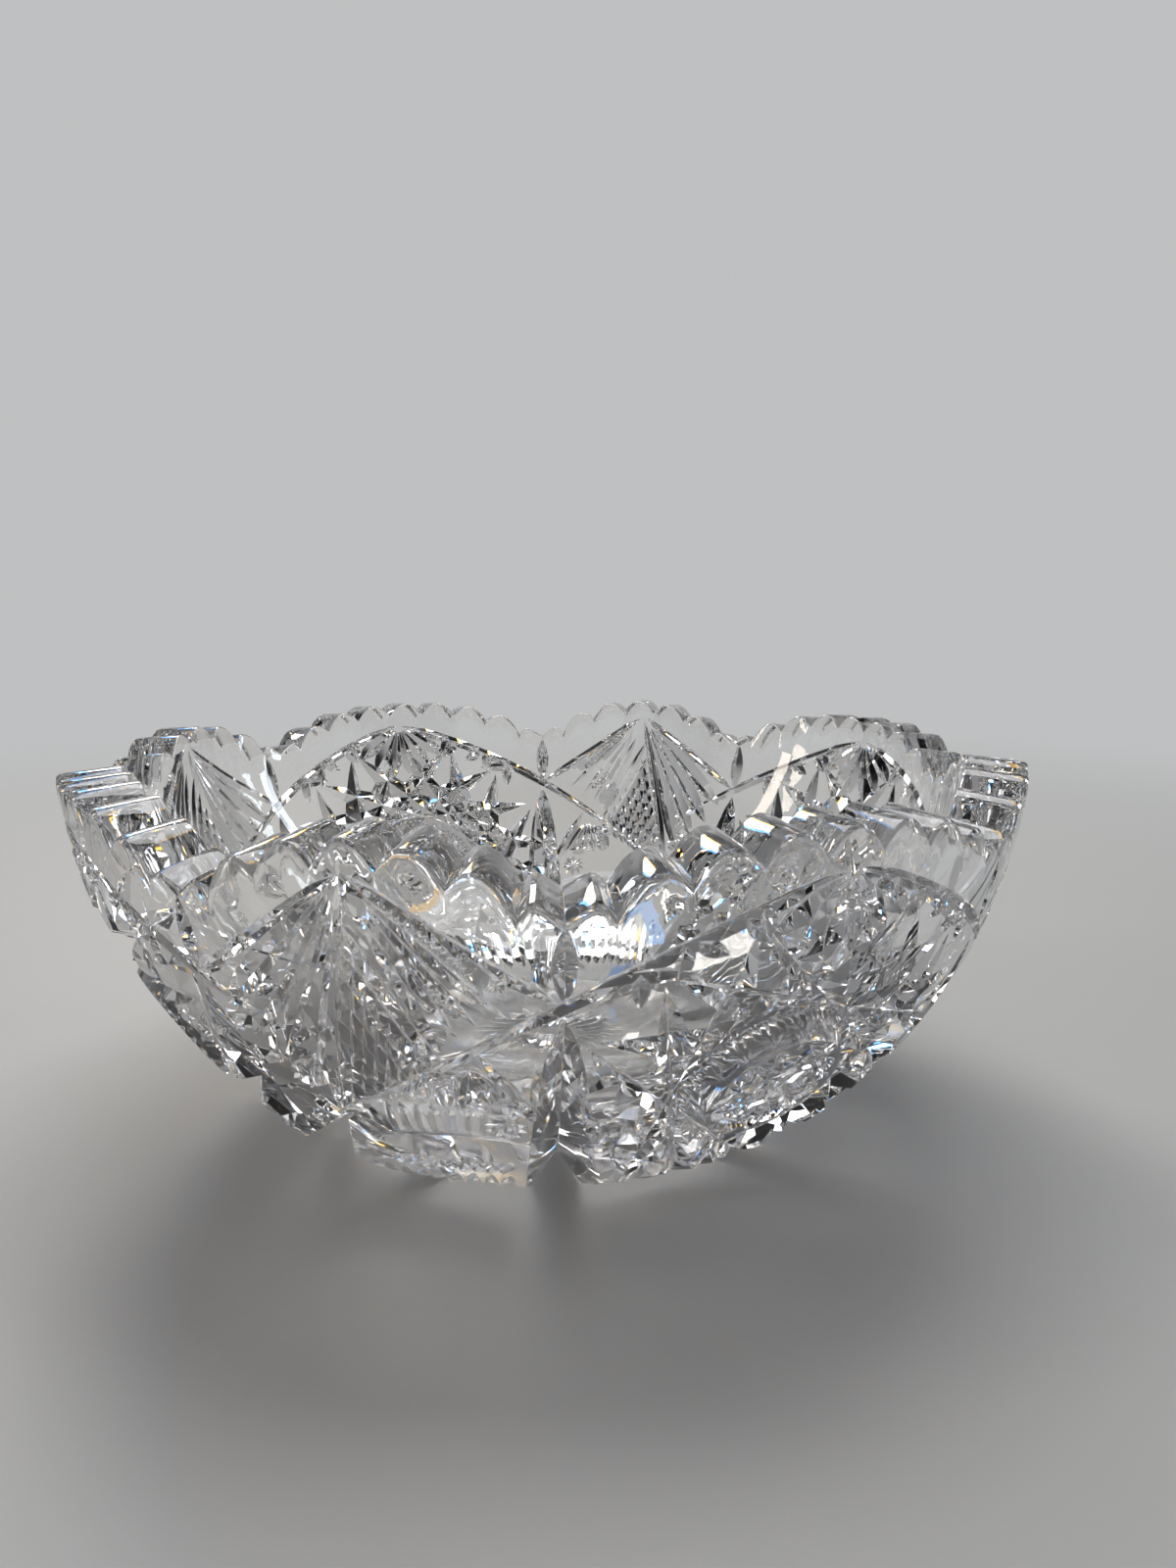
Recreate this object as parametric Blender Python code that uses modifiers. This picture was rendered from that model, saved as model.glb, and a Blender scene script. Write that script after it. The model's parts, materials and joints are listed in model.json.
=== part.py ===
"""A cut-crystal bowl. One thick blank of clear lead crystal is turned, its rim is cut into scallops with
teeth, and V-edged wheels then cut the mitres of its side and the star under its foot.

The outside follows a ball. A place on it is a bearing round the bowl, from the front (-Y) towards +X, and a
drop below the ball's widest level, both in degrees. The pattern has a wide panel and a narrow panel, and it
repeats every quarter turn.
"""

import math

import bmesh
import bpy
from mathutils import Matrix, Vector

# Blank, in metres.
BALL_RADIUS = 0.1023
FOOT_RADIUS = 0.0419
FOOT_CUT = 0.0023  # how far the outside lies within the ball at the foot
RIM_HEIGHT = 0.0854
RIM_WALL = 0.0125
FLOOR_THICKNESS = 0.0115
INSIDE_FULLNESS = 2.2  # 2 gives an ellipse, and more a fuller inside
BLANK_SPARE = 0.002  # height that is cut away over the tallest teeth
ROUND_STEPS = 48
OUTSIDE_ROWS = 7
INSIDE_ROWS = 7

# Rim: 2 scallops in each quarter, a wide one and a narrow one. Its top falls outwards.
QUARTERS = 4
WIDE_SPAN = 52.8  # degrees
WIDE_TEETH = 9
NARROW_TEETH = 7
END_TOOTH_SHARE = 0.68  # width of the tooth beside a dip, over the width of the others
WIDE_ROUNDNESS = 2.5
NARROW_ROUNDNESS = 2.0
SCALLOP_DROP_INSIDE = 0.0106
SCALLOP_DROP_OUTSIDE = 0.0123
RIM_FALL = 0.0009
TOOTH_DEPTH_INSIDE = 0.0033
TOOTH_DEPTH_OUTSIDE = 0.0042
TOOTH_ROUNDNESS = 2.0
TOOTH_STATIONS = (0.0, 0.18, 0.5, 0.82)
RIM_CUT_REACH = 0.012  # how far the rim's cutter reaches past the wall on both sides

# Wheels: the half angle of the V, as its half width over its depth, and the depths, in metres.
MITRE_SPREAD = 1.15
ARCH_SPREAD = 0.95
DEEP_SPREAD = 0.74
STAR_SPREAD = 0.9
OLIVE_SPREAD = 3.2
ARCH_DEPTH = 0.0014
ARCH_TAIL_DEPTH = 0.0010
BORDER_DEPTH = 0.0013
DART_DEPTH = 0.0022
DIP_DEPTHS = (0.0046, 0.0076, 0.0089)
NOTCH_DEPTH = 0.0075
FAN_DEPTH = 0.0018
HOBSTAR_DEPTH = 0.0058
HOB_TOP_DEPTH = 0.0020
HOB_STAR_BASE = 0.0015
HOB_STAR_DEPTH = 0.0024
OLIVE_DEPTH = 0.0021
SHORT_OLIVE_DEPTH = 0.0016
FOOT_STAR_DEPTH = 0.0022
LIP = 0.0040  # height of a cutter's sides over the glass
FADE = 0.0003  # height over the glass at which a cut begins and ends
DEPTH_STEP = 0.00003  # between cuts of one star, so that no two of their roots meet in a point

# Places of the pattern, in degrees below the rim's top.
WIDE_PEAK_FALL = 4.4
NARROW_PEAK_FALL = 3.4
DART_FALL = 7.4
CROSSING_FALL = 15.6
DIP_FALL = 16.5
SHORT_ARCH_FALL = 24.5
HOB_FALL = 31.4
LONG_ARCH_FALL = 32.5

# Other places, in degrees.
DIP_DROPS = (26.0, 41.0, 61.0)
FOOT_CUT_BEGIN_DROP = 48.0
FOOT_CUT_END_DROP = 60.0
NOTCH_HEADING = -36.0  # from straight down at the long arch's end
SHORT_ARCH_RUN = 15.0
LONG_ARCH_STEPS = 8
SHORT_ARCH_STEPS = 6
OLIVE_DROP = 38.5
OLIVE_MARGIN = 1.5

# Star round the hob in the wide panel, the fans, and what runs to the foot, in metres and counts.
HOBSTAR_LINES = 16
HOBSTAR_INNER = 0.0178
HOBSTAR_OUTER = 0.0430
HOB_TOP_RADIUS = 0.0155
HOB_TOP_CORNERS = 16
HOB_STAR_LINES = 4
HOB_STAR_RADIUS = 0.0108
WIDE_FAN_RAYS = 6
WIDE_FAN_ANGLE = 130.0
WIDE_FAN_LENGTH = 0.0175
FAN_BEGIN = 0.0022
NARROW_RAYS_RIGHT = 4
NARROW_RAYS_LEFT = 4
NARROW_RAY_BEGIN = 0.12  # share of a ray's way from the peak that stays uncut
NOTCH_LENGTH = 0.0776
NOTCH_OVERLAP = 0.002  # of the notch and the long arch's end
DIP_END_RADIUS = 0.022  # where the dips' mitres end under the foot
FOOT_STAR_RAYS = 24
FOOT_STAR_INNER = 0.004
FOOT_STAR_OUTER = 0.020
FOOT_STAR_STATIONS = (0.0, 0.4, 1.0)

# What follows from those.
BALL_CENTRE = Vector((0.0, 0.0, math.sqrt((BALL_RADIUS - FOOT_CUT) ** 2 - FOOT_RADIUS**2)))
RIM_DROP = math.degrees(math.asin((BALL_CENTRE.z - RIM_HEIGHT) / BALL_RADIUS))
WIDE_PEAK_DROP = RIM_DROP + WIDE_PEAK_FALL
NARROW_PEAK_DROP = RIM_DROP + NARROW_PEAK_FALL
DART_DROP = RIM_DROP + DART_FALL
CROSSING_DROP = RIM_DROP + CROSSING_FALL
DIP_BEGIN_DROP = RIM_DROP + DIP_FALL
SHORT_ARCH_END_DROP = RIM_DROP + SHORT_ARCH_FALL
HOB_DROP = RIM_DROP + HOB_FALL
LONG_ARCH_END_DROP = RIM_DROP + LONG_ARCH_FALL
NARROW_SPAN = 360 / QUARTERS - WIDE_SPAN
WIDE_MIDDLE = WIDE_SPAN / 2
NARROW_MIDDLE = -NARROW_SPAN / 2
LONG_ARCH_END = -WIDE_MIDDLE
SHORT_ARCH_END = WIDE_SPAN + SHORT_ARCH_RUN


def spot(bearing, drop):
    """The unit vector from the ball's centre to a place on it."""
    turn, low = math.radians(bearing), math.radians(drop)
    return Vector((math.sin(turn) * math.cos(low), -math.cos(turn) * math.cos(low), -math.sin(low)))


def beside(place, heading, run):
    """The place that lies a run along the ball from another, at a heading in degrees from straight down."""
    down = (Vector((0, 0, -1)) + place * place.z).normalized()
    way = Matrix.Rotation(math.radians(heading), 3, place) @ down
    return place * math.cos(run / BALL_RADIUS) + way * math.sin(run / BALL_RADIUS)


def bowed(start, middle, end, count):
    """Places along the circle on the ball through three of its places."""
    axis = (middle - start).cross(end - middle).normalized()
    centre = axis * start.dot(axis)
    begin = start - centre
    sweep = begin.angle(end - centre)
    if begin.cross(end - centre).dot(axis) < 0:
        sweep = 2 * math.pi - sweep
    return [centre + Matrix.Rotation(sweep * i / count, 3, axis) @ begin for i in range(count + 1)]


def new_object(name, mesh, home):
    obj = bpy.data.objects.new(name, mesh)
    home.objects.link(obj)
    return obj


def make_collection(name):
    home = bpy.data.collections.new(name)
    bpy.context.scene.collection.children.link(home)
    return home


def crystal():
    material = bpy.data.materials.new("crystal")
    material.use_nodes = True
    shader = material.node_tree.nodes["Principled BSDF"]
    shader.inputs["Base Color"].default_value = (0.98, 0.98, 0.97, 1.0)
    shader.inputs["Roughness"].default_value = 0.02
    shader.inputs["Metallic"].default_value = 0.0
    shader.inputs["Transmission Weight"].default_value = 1.0
    shader.inputs["IOR"].default_value = 1.54
    return material


def signed_power(value, power):
    """A power that keeps the value's sign, for an inside that may rise past the ball's widest level."""
    return math.copysign(abs(value) ** power, value)


def outside_reach(drop):
    """The outside's distance from the ball's centre, which falls in a smooth step towards the foot."""
    share = (drop - FOOT_CUT_BEGIN_DROP) / (FOOT_CUT_END_DROP - FOOT_CUT_BEGIN_DROP)
    share = min(1.0, max(0.0, share))
    return BALL_RADIUS - FOOT_CUT * share**2 * (3 - 2 * share)


def blank_profile():
    """The blank's half section as (radius, height), from the inside's middle over the rim to the foot."""
    top = RIM_HEIGHT + BLANK_SPARE
    half_width = BALL_RADIUS - RIM_WALL
    half_height = BALL_CENTRE.z - FLOOR_THICKNESS
    power = 2 / INSIDE_FULLNESS
    rim_turn = math.asin(signed_power((BALL_CENTRE.z - top) / half_height, 1 / power))
    points = []
    for i in range(INSIDE_ROWS + 1):
        turn = math.pi / 2 + (rim_turn - math.pi / 2) * i / INSIDE_ROWS
        radius = half_width * signed_power(math.cos(turn), power) if i else 0.0
        points.append((radius, BALL_CENTRE.z - half_height * signed_power(math.sin(turn), power)))
    rim_drop = math.asin((BALL_CENTRE.z - top) / BALL_RADIUS)
    foot_drop = math.atan2(BALL_CENTRE.z, FOOT_RADIUS)
    for i in range(OUTSIDE_ROWS + 1):
        drop = rim_drop + (foot_drop - rim_drop) * i / OUTSIDE_ROWS
        reach = outside_reach(math.degrees(drop))
        points.append((reach * math.cos(drop), BALL_CENTRE.z - reach * math.sin(drop)))
    points[-1] = (FOOT_RADIUS, 0.0)
    points.append((0.0, 0.0))
    return points


def turned_blank(home):
    profile = blank_profile()
    mesh = bpy.data.meshes.new("bowl")
    mesh.from_pydata([(r, 0, z) for r, z in profile], [(i, i + 1) for i in range(len(profile) - 1)], [])
    obj = new_object("bowl", mesh, home)
    screw = obj.modifiers.new("turned", "SCREW")
    screw.steps = screw.render_steps = ROUND_STEPS
    screw.use_merge_vertices = True
    screw.merge_threshold = 0.00001
    mesh.materials.append(crystal())
    return obj


def lofted(name, sections, home):
    """A closed ring-shaped cutter through sections of equal point counts."""
    shape = bmesh.new()
    rings = [[shape.verts.new(point) for point in section] for section in sections]
    for one, two in zip(rings, rings[1:] + rings[:1]):
        bridge(shape, one, two)
    return cutter(name, shape, home)


def bridge(shape, one, two):
    """Faces between two rings of points."""
    for i in range(len(one)):
        j = (i + 1) % len(one)
        shape.faces.new((one[i], one[j], two[j], two[i]))


def cutter(name, shape, home):
    bmesh.ops.recalc_face_normals(shape, faces=shape.faces)
    mesh = bpy.data.meshes.new(name)
    shape.to_mesh(mesh)
    shape.free()
    obj = new_object(name, mesh, home)
    obj.hide_render = True
    obj.display_type = "WIRE"
    return obj


def scallop(begin, span, teeth, roundness):
    """(bearing, share of the scallop's drop, share of the tooth depth) at each station along a scallop."""
    pitch = span / (teeth - 2 + 2 * END_TOOTH_SHARE)
    stations = []
    for tooth in range(teeth):
        first, last = tooth == 0, tooth == teeth - 1
        left = 0 if first else pitch * (tooth - 1 + END_TOOTH_SHARE)
        width = pitch * END_TOOTH_SHARE if first or last else pitch
        for part in TOOTH_STATIONS:
            run = left + width * part
            at_dip = (first and part < 0.5) or (last and part > 0.5)
            valley = 0.0 if at_dip else abs(2 * part - 1) ** TOOTH_ROUNDNESS
            stations.append((begin + run, abs(2 * run / span - 1) ** roundness, valley))
    return stations


def rim_cutter(home):
    """A ring over the rim whose underside is the toothed, scalloped edge."""
    inner, outer = BALL_RADIUS - RIM_WALL, BALL_RADIUS
    sections = []
    for quarter in range(QUARTERS):
        begin = quarter * 360 / QUARTERS
        stations = scallop(begin, WIDE_SPAN, WIDE_TEETH, WIDE_ROUNDNESS)
        stations += scallop(begin + WIDE_SPAN, NARROW_SPAN, NARROW_TEETH, NARROW_ROUNDNESS)
        for bearing, drop, valley in stations:
            inside = RIM_HEIGHT - SCALLOP_DROP_INSIDE * drop - TOOTH_DEPTH_INSIDE * valley
            outside = RIM_HEIGHT - RIM_FALL - SCALLOP_DROP_OUTSIDE * drop - TOOTH_DEPTH_OUTSIDE * valley
            reach = (inside - outside) * RIM_CUT_REACH / RIM_WALL
            way, up = spot(bearing, 0), Vector((0, 0, 1))
            near, far = way * (inner - RIM_CUT_REACH), way * (outer + RIM_CUT_REACH)
            high = up * (RIM_HEIGHT + RIM_CUT_REACH)
            low_near, low_far = near + up * (inside + reach), far + up * (outside - reach)
            sections.append((low_near, low_far, far + high, near + high))
    return lofted("rim_edge", sections, home)


def mitre(name, line, depths, home, spread=MITRE_SPREAD):
    """A V-section cutter along a line of (point, outward way) on the glass, once in each quarter."""
    shape = bmesh.new()
    for quarter in range(QUARTERS):
        turn = Matrix.Rotation(2 * math.pi * quarter / QUARTERS, 4, "Z")
        rings = []
        for i, ((point, out), depth) in enumerate(zip(line, depths)):
            along = line[min(i + 1, len(line) - 1)][0] - line[max(i - 1, 0)][0]
            side = out.cross(along).normalized() * (depth + LIP) * spread
            lip = point + out * LIP
            section = (point - out * depth, lip + side, lip - side)
            rings.append([shape.verts.new(turn @ corner) for corner in section])
        shape.faces.new(rings[0])
        shape.faces.new(rings[-1])
        for one, two in zip(rings, rings[1:]):
            bridge(shape, one, two)
    return cutter(name, shape, home)


def on_ball(places):
    return [(BALL_CENTRE + place * BALL_RADIUS, place) for place in places]


def wheel_cut(name, start, end, depth, home, spread=MITRE_SPREAD, base=0.0):
    """A straight mitre between two places that fades out at both of them, under a base depth."""
    places = (start, start.slerp(end, 0.5), end)
    mitre(name, on_ball(places), (base - FADE, base + depth, base - FADE), home, spread)


def flat_cut(name, place, depth, radius, corners, home):
    """A round cutter with a flat end at a depth under a place, once in each quarter."""
    across = place.cross(Vector((0, 0, 1))).normalized() * radius
    low, high = place * (BALL_RADIUS - depth), place * (BALL_RADIUS + LIP)
    shape = bmesh.new()
    for quarter in range(QUARTERS):
        turn = Matrix.Rotation(2 * math.pi * quarter / QUARTERS, 4, "Z")
        spokes = [Matrix.Rotation(2 * math.pi * i / corners, 3, place) @ across for i in range(corners)]
        ends = [[turn @ (BALL_CENTRE + end + spoke) for spoke in spokes] for end in (low, high)]
        rings = [[shape.verts.new(point) for point in end] for end in ends]
        shape.faces.new(rings[0])
        shape.faces.new(rings[1])
        bridge(shape, *rings)
    return cutter(name, shape, home)


def cut_arches(home):
    """The wide panel's arches, which run on past the crossings as fine lines, the long one to its notch."""
    peak = spot(WIDE_MIDDLE, WIDE_PEAK_DROP)
    long_end = spot(LONG_ARCH_END, LONG_ARCH_END_DROP)
    long_arch = bowed(peak, spot(0, CROSSING_DROP), long_end, LONG_ARCH_STEPS)
    half = LONG_ARCH_STEPS // 2
    depths = (-FADE,) + (ARCH_DEPTH,) * half + (ARCH_TAIL_DEPTH,) * (LONG_ARCH_STEPS - half)
    mitre("long_arch", on_ball(long_arch), depths, home, ARCH_SPREAD)
    far = spot(SHORT_ARCH_END, SHORT_ARCH_END_DROP)
    short_arch = bowed(peak, spot(WIDE_SPAN, CROSSING_DROP), far, SHORT_ARCH_STEPS)
    depths = (-FADE,) + (ARCH_DEPTH,) * (SHORT_ARCH_STEPS - 2) + (ARCH_TAIL_DEPTH, -FADE)
    mitre("short_arch", on_ball(short_arch), depths, home, ARCH_SPREAD)
    start = beside(long_end, NOTCH_HEADING + 180, NOTCH_OVERLAP)
    end = beside(long_end, NOTCH_HEADING, NOTCH_LENGTH)
    wheel_cut("arch_notch", start, end, NOTCH_DEPTH, home, DEEP_SPREAD)


def cut_dips(home):
    """Below each dip of the rim, a dart, and then a deep mitre that runs over the foot's edge."""
    end_drop = math.degrees(math.atan2(BALL_CENTRE.z, DIP_END_RADIUS))
    end_depth = BALL_RADIUS - math.hypot(BALL_CENTRE.z, DIP_END_RADIUS) - FADE
    drops = (DIP_BEGIN_DROP,) + DIP_DROPS + (end_drop,)
    depths = (-FADE,) + DIP_DEPTHS + (end_depth,)
    for name, bearing in (("left", 0), ("right", WIDE_SPAN)):
        dart = spot(bearing, DART_DROP), spot(bearing, CROSSING_DROP)
        wheel_cut(f"dart_{name}", *dart, DART_DEPTH, home, ARCH_SPREAD)
        mitre(f"dip_{name}", on_ball([spot(bearing, drop) for drop in drops]), depths, home, DEEP_SPREAD)


def cut_narrow_panel(home):
    """A fan from the narrow panel's peak, between two borders that meet the arches at the crossings."""
    peak = spot(NARROW_MIDDLE, NARROW_PEAK_DROP)
    right, left = spot(0, CROSSING_DROP), spot(-NARROW_SPAN, CROSSING_DROP)
    low = spot(LONG_ARCH_END, LONG_ARCH_END_DROP)
    wheel_cut("border_right", peak, right, BORDER_DEPTH, home, ARCH_SPREAD)
    wheel_cut("border_left", peak, left, BORDER_DEPTH, home, ARCH_SPREAD)
    wheel_cut("fan_middle", peak, low, BORDER_DEPTH, home, ARCH_SPREAD)
    for name, edge, rays in (("right", right, NARROW_RAYS_RIGHT), ("left", left, NARROW_RAYS_LEFT)):
        for ray in range(1, rays + 1):
            end = edge.slerp(low, ray / (rays + 1))
            begin = peak.slerp(end, NARROW_RAY_BEGIN)
            wheel_cut(f"fan_{name}_{ray}", begin, end, FAN_DEPTH, home)


def cut_wide_panel(home):
    """A star of mitres, whose flanks leave a hob with a flat top and a small star on it, and a fan."""
    hob = spot(WIDE_MIDDLE, HOB_DROP)
    half_chord = math.sqrt(HOBSTAR_OUTER**2 - HOBSTAR_INNER**2)
    for line in range(HOBSTAR_LINES):
        touch = beside(hob, 360 * line / HOBSTAR_LINES, HOBSTAR_INNER)
        depth = HOBSTAR_DEPTH + line * DEPTH_STEP
        tangent_cut(f"hobstar_{line}", hob, touch, half_chord, depth, home, STAR_SPREAD)
    flat_cut("hob_top", hob, HOB_TOP_DEPTH, HOB_TOP_RADIUS, HOB_TOP_CORNERS, home)
    for line in range(HOB_STAR_LINES):
        heading = 180 * (line + 0.5) / HOB_STAR_LINES
        start = beside(hob, heading, HOB_STAR_RADIUS)
        end = beside(hob, heading + 180, HOB_STAR_RADIUS)
        depth = HOB_STAR_DEPTH + line * DEPTH_STEP
        wheel_cut(f"hob_star_{line}", start, end, depth, home, base=HOB_STAR_BASE)
    peak = spot(WIDE_MIDDLE, WIDE_PEAK_DROP)
    for ray in range(WIDE_FAN_RAYS):
        heading = WIDE_FAN_ANGLE * ((ray + 0.5) / WIDE_FAN_RAYS - 0.5)
        start = beside(peak, heading, FAN_BEGIN)
        wheel_cut(f"peak_fan_{ray}", start, beside(peak, heading, WIDE_FAN_LENGTH), FAN_DEPTH, home)


def tangent_cut(name, middle, touch, half_length, depth, home, spread):
    """A straight mitre that is deepest where it touches a circle round the middle."""
    way = middle.cross(touch).normalized()
    angle = half_length / BALL_RADIUS
    start = touch * math.cos(angle) - way * math.sin(angle)
    end = touch * math.cos(angle) + way * math.sin(angle)
    wheel_cut(name, start, end, depth, home, spread)


def cut_olives(home):
    """Two broad polished cuts over the foot, on both sides of the long arch's end."""
    start, end = spot(LONG_ARCH_END + OLIVE_MARGIN, OLIVE_DROP), spot(-OLIVE_MARGIN, OLIVE_DROP)
    wheel_cut("olive", start, end, OLIVE_DEPTH, home, OLIVE_SPREAD)
    start, end = spot(OLIVE_MARGIN - NARROW_SPAN, OLIVE_DROP), spot(LONG_ARCH_END - OLIVE_MARGIN, OLIVE_DROP)
    wheel_cut("short_olive", start, end, SHORT_OLIVE_DEPTH, home, OLIVE_SPREAD)


def cut_foot_star(home):
    """A star of rays in the underside, inside the flat ring that the bowl stands on."""
    down = Vector((0, 0, -1))
    for ray in range(FOOT_STAR_RAYS // QUARTERS):
        way = spot(360 * (ray + 0.5) / FOOT_STAR_RAYS, 0)
        run = FOOT_STAR_OUTER - FOOT_STAR_INNER
        line = [(way * (FOOT_STAR_INNER + run * share), down) for share in FOOT_STAR_STATIONS]
        mitre(f"foot_star_{ray}", line, (-FADE, FOOT_STAR_DEPTH, -FADE), home)


def cut_away(obj, name, cutters, solver="EXACT"):
    modifier = obj.modifiers.new(name, "BOOLEAN")
    modifier.operation = "DIFFERENCE"
    modifier.operand_type = "COLLECTION"
    modifier.collection = cutters
    modifier.solver = solver


def main():
    for obj in list(bpy.data.objects):
        bpy.data.objects.remove(obj)
    bowl = turned_blank(make_collection("punch_bowl"))
    rim_wheels = make_collection("rim_cutters")
    rim_cutter(rim_wheels)
    side_wheels = make_collection("mitre_cutters")
    cut_arches(side_wheels)
    cut_dips(side_wheels)
    cut_narrow_panel(side_wheels)
    cut_wide_panel(side_wheels)
    cut_olives(side_wheels)
    cut_foot_star(side_wheels)
    cut_away(bowl, "rim", rim_wheels)
    cut_away(bowl, "mitres", side_wheels, "MANIFOLD")


main()
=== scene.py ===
"""A cut-crystal punch bowl on a plain pale floor.

The bowl is one blank of crystal, a section carried round the axis, and V-edged wheels cut its pattern. A
place on its outside is a bearing round the bowl, from the front (-Y) towards +X, and a drop below the ball's
widest level, both in degrees. The pattern has a wide and a narrow panel, and it repeats every quarter turn.
"""

import json
import math

import bpy
import numpy as np
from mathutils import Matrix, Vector

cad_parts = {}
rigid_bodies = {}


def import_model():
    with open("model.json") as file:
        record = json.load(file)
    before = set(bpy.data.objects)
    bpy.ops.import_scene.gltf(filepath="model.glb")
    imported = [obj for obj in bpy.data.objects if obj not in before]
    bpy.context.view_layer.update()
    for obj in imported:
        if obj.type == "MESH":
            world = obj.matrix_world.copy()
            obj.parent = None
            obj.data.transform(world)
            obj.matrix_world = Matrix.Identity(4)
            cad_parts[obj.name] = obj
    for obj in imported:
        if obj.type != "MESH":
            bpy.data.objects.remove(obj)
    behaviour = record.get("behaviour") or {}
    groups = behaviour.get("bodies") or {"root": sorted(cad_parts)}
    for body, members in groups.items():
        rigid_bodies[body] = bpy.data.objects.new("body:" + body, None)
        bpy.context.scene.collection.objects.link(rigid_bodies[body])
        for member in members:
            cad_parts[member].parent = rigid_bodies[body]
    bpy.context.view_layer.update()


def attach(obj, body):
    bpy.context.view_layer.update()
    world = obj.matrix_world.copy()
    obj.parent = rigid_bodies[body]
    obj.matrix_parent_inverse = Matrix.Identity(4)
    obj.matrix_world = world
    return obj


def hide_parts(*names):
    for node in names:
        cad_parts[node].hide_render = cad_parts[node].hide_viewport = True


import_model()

# Blank, in metres; the drops where the step near the foot begins and ends are in degrees.
BALL_RADIUS = 0.1023
BALL_HEIGHT = 0.0908
FOOT_CUT = 0.0023
FOOT_CUT_BEGINS = 48.0
FOOT_CUT_ENDS = 60.0
RIM_HEIGHT = 0.0854
RIM_WALL = 0.0125
FLOOR_THICKNESS = 0.0115
INSIDE_FULLNESS = 2.2
INNER_ROUNDING = 0.0008
OUTER_ROUNDING = 0.0016
TOOTH_COLUMNS = 8
INSIDE_ROWS = 26
ROUNDING_ROWS = 4
OUTSIDE_ROWS = 40
FOOT_ROWS = (0.92, 0.6, 0.3)

# Rim: a wide and a narrow scallop in each quarter.
QUARTERS = 4
WIDE_SPAN = 52.8
WIDE_TEETH = 9
NARROW_TEETH = 7
END_TOOTH_SHARE = 0.68
WIDE_ROUNDNESS = 2.5
NARROW_ROUNDNESS = 2.0
SCALLOP_DROP_INSIDE = 0.0106
SCALLOP_DROP_OUTSIDE = 0.0123
RIM_FALL = 0.0009
TOOTH_DEPTH_INSIDE = 0.0033
TOOTH_DEPTH_OUTSIDE = 0.0042

# Wheels: the half width of a V over its depth, then heights over the glass, in metres. A small step in depth
# keeps the roots of neighbouring cuts apart where they cross.
SHARP_WHEEL = 0.95
NOTCH_WHEEL = 0.74
STAR_WHEEL = 0.9
MITRE_WHEEL = 1.1
FAN_WHEEL = 1.25
BLADE_WHEEL = 1.5
FACET_WHEEL = 2.4
FLAT_WHEEL = 3.2
LIP = 0.0040
FADE = 0.0003
DEPTH_STEP = 0.00003
STATIONS = 9
ARCH_STATIONS = 49
# How full a leaf is: the power of the distance from its middle with which its depth falls.
LEAF = 2.0
BROAD_LEAF = 3.0
LONG_LEAF = 4.0
LINE = 6.0

# Peaks, crossings and ends of the pattern's main lines, in degrees.
WIDE_PEAK_DROP = 7.4
NARROW_PEAK_DROP = 6.4
CROSSING_DROP = 18.6
ARCH_END_DROP = 35.5
SHORT_ARCH_END_DROP = 27.5
SHORT_ARCH_RUN = 15.0

# Arches and borders: depths in metres, and shares of an arch's length.
ARCH_DEPTH = 0.0014
ARCH_TAIL_DEPTH = 0.0010
ARCH_BEGIN = 0.12
LONG_ARCH_TAIL = (0.47, 0.60)
SHORT_ARCH_TAIL = (0.60, 0.75)
SHORT_ARCH_FADE = 0.15
BORDER_DEPTH = 0.0013

# Dips: a dart, the mitre under it and the notch that ends an arch, in degrees and metres.
DART_DROP = 10.4
DART_DEPTH = 0.0022
DIP_PATH = (
    (19.5, -0.0003),
    (22.0, 0.0024),
    (26.0, 0.0046),
    (31.0, 0.0060),
    (36.0, 0.0069),
    (41.0, 0.0076),
    (46.0, 0.0081),
    (51.0, 0.0085),
    (56.0, 0.0087),
    (60.0, 0.0089),
    (64.0, 0.0090),
    (68.0, 0.0090),
    (73.0, 0.0090),
    (77.0, 0.0090),
)
ARCH_NOTCH = ((-25.2, 34.7), (-81.0, 62.7))
ARCH_NOTCH_DEPTH = 0.0075

# Wide panel: the star, the hob that it leaves, the hob's own cuts and the fan, in degrees and metres.
HOB_DROP = 34.4
STAR_LINES = 16
STAR_INNER = 0.0178
STAR_OUTER = 0.0430
STAR_DEPTH = 0.0058
HOB_TOP_DEPTH = 0.0020
HOB_TOP_RADIUS = 0.0155
HOB_TOP_CORNERS = 32
COLLAR_CUTS = 64
COLLAR_OUTER = 0.0176
COLLAR_INNER = 0.0154
COLLAR_DEPTH = 0.0010
COLLAR_SHIFT = 0.25
COLLAR_LEAN = 3
HOB_RAYS = 8
HOB_STAR_BASE = 0.0015
HOB_STAR_DEPTH = 0.0024
HOB_STAR_RADIUS = 0.0108
HOB_POINT_DEPTH = 0.0017
HOB_POINT_RADII = (0.0035, 0.0132)
HOB_CHIP_DEPTH = 0.0012
HOB_CHIP_RADII = (0.0125, 0.0085)
HOB_CHIP_TURNS = (22.5, 6)
PEAK_FAN_RAYS = 6
PEAK_FAN_ANGLE = 130
PEAK_FAN_DEPTH = 0.0020
PEAK_FAN_RADII = (0.0012, 0.0175)
FILL_DEPTH = 0.0013
# Short cuts between the arch and the star, in the left half of the wide panel.
WIDE_FILL = (
    (3.2, 15.6, 12.3, 15.7),
    (6.7, 14.6, 6.7, 19.4),
    (10.9, 12.0, 9.9, 17.2),
    (10.7, 12.6, 14.7, 14.3),
    (15.3, 10.6, 18.6, 13.6),
    (17.2, 9.4, 18.6, 13.6),
    (21.8, 9.5, 18.2, 13.6),
)

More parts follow.
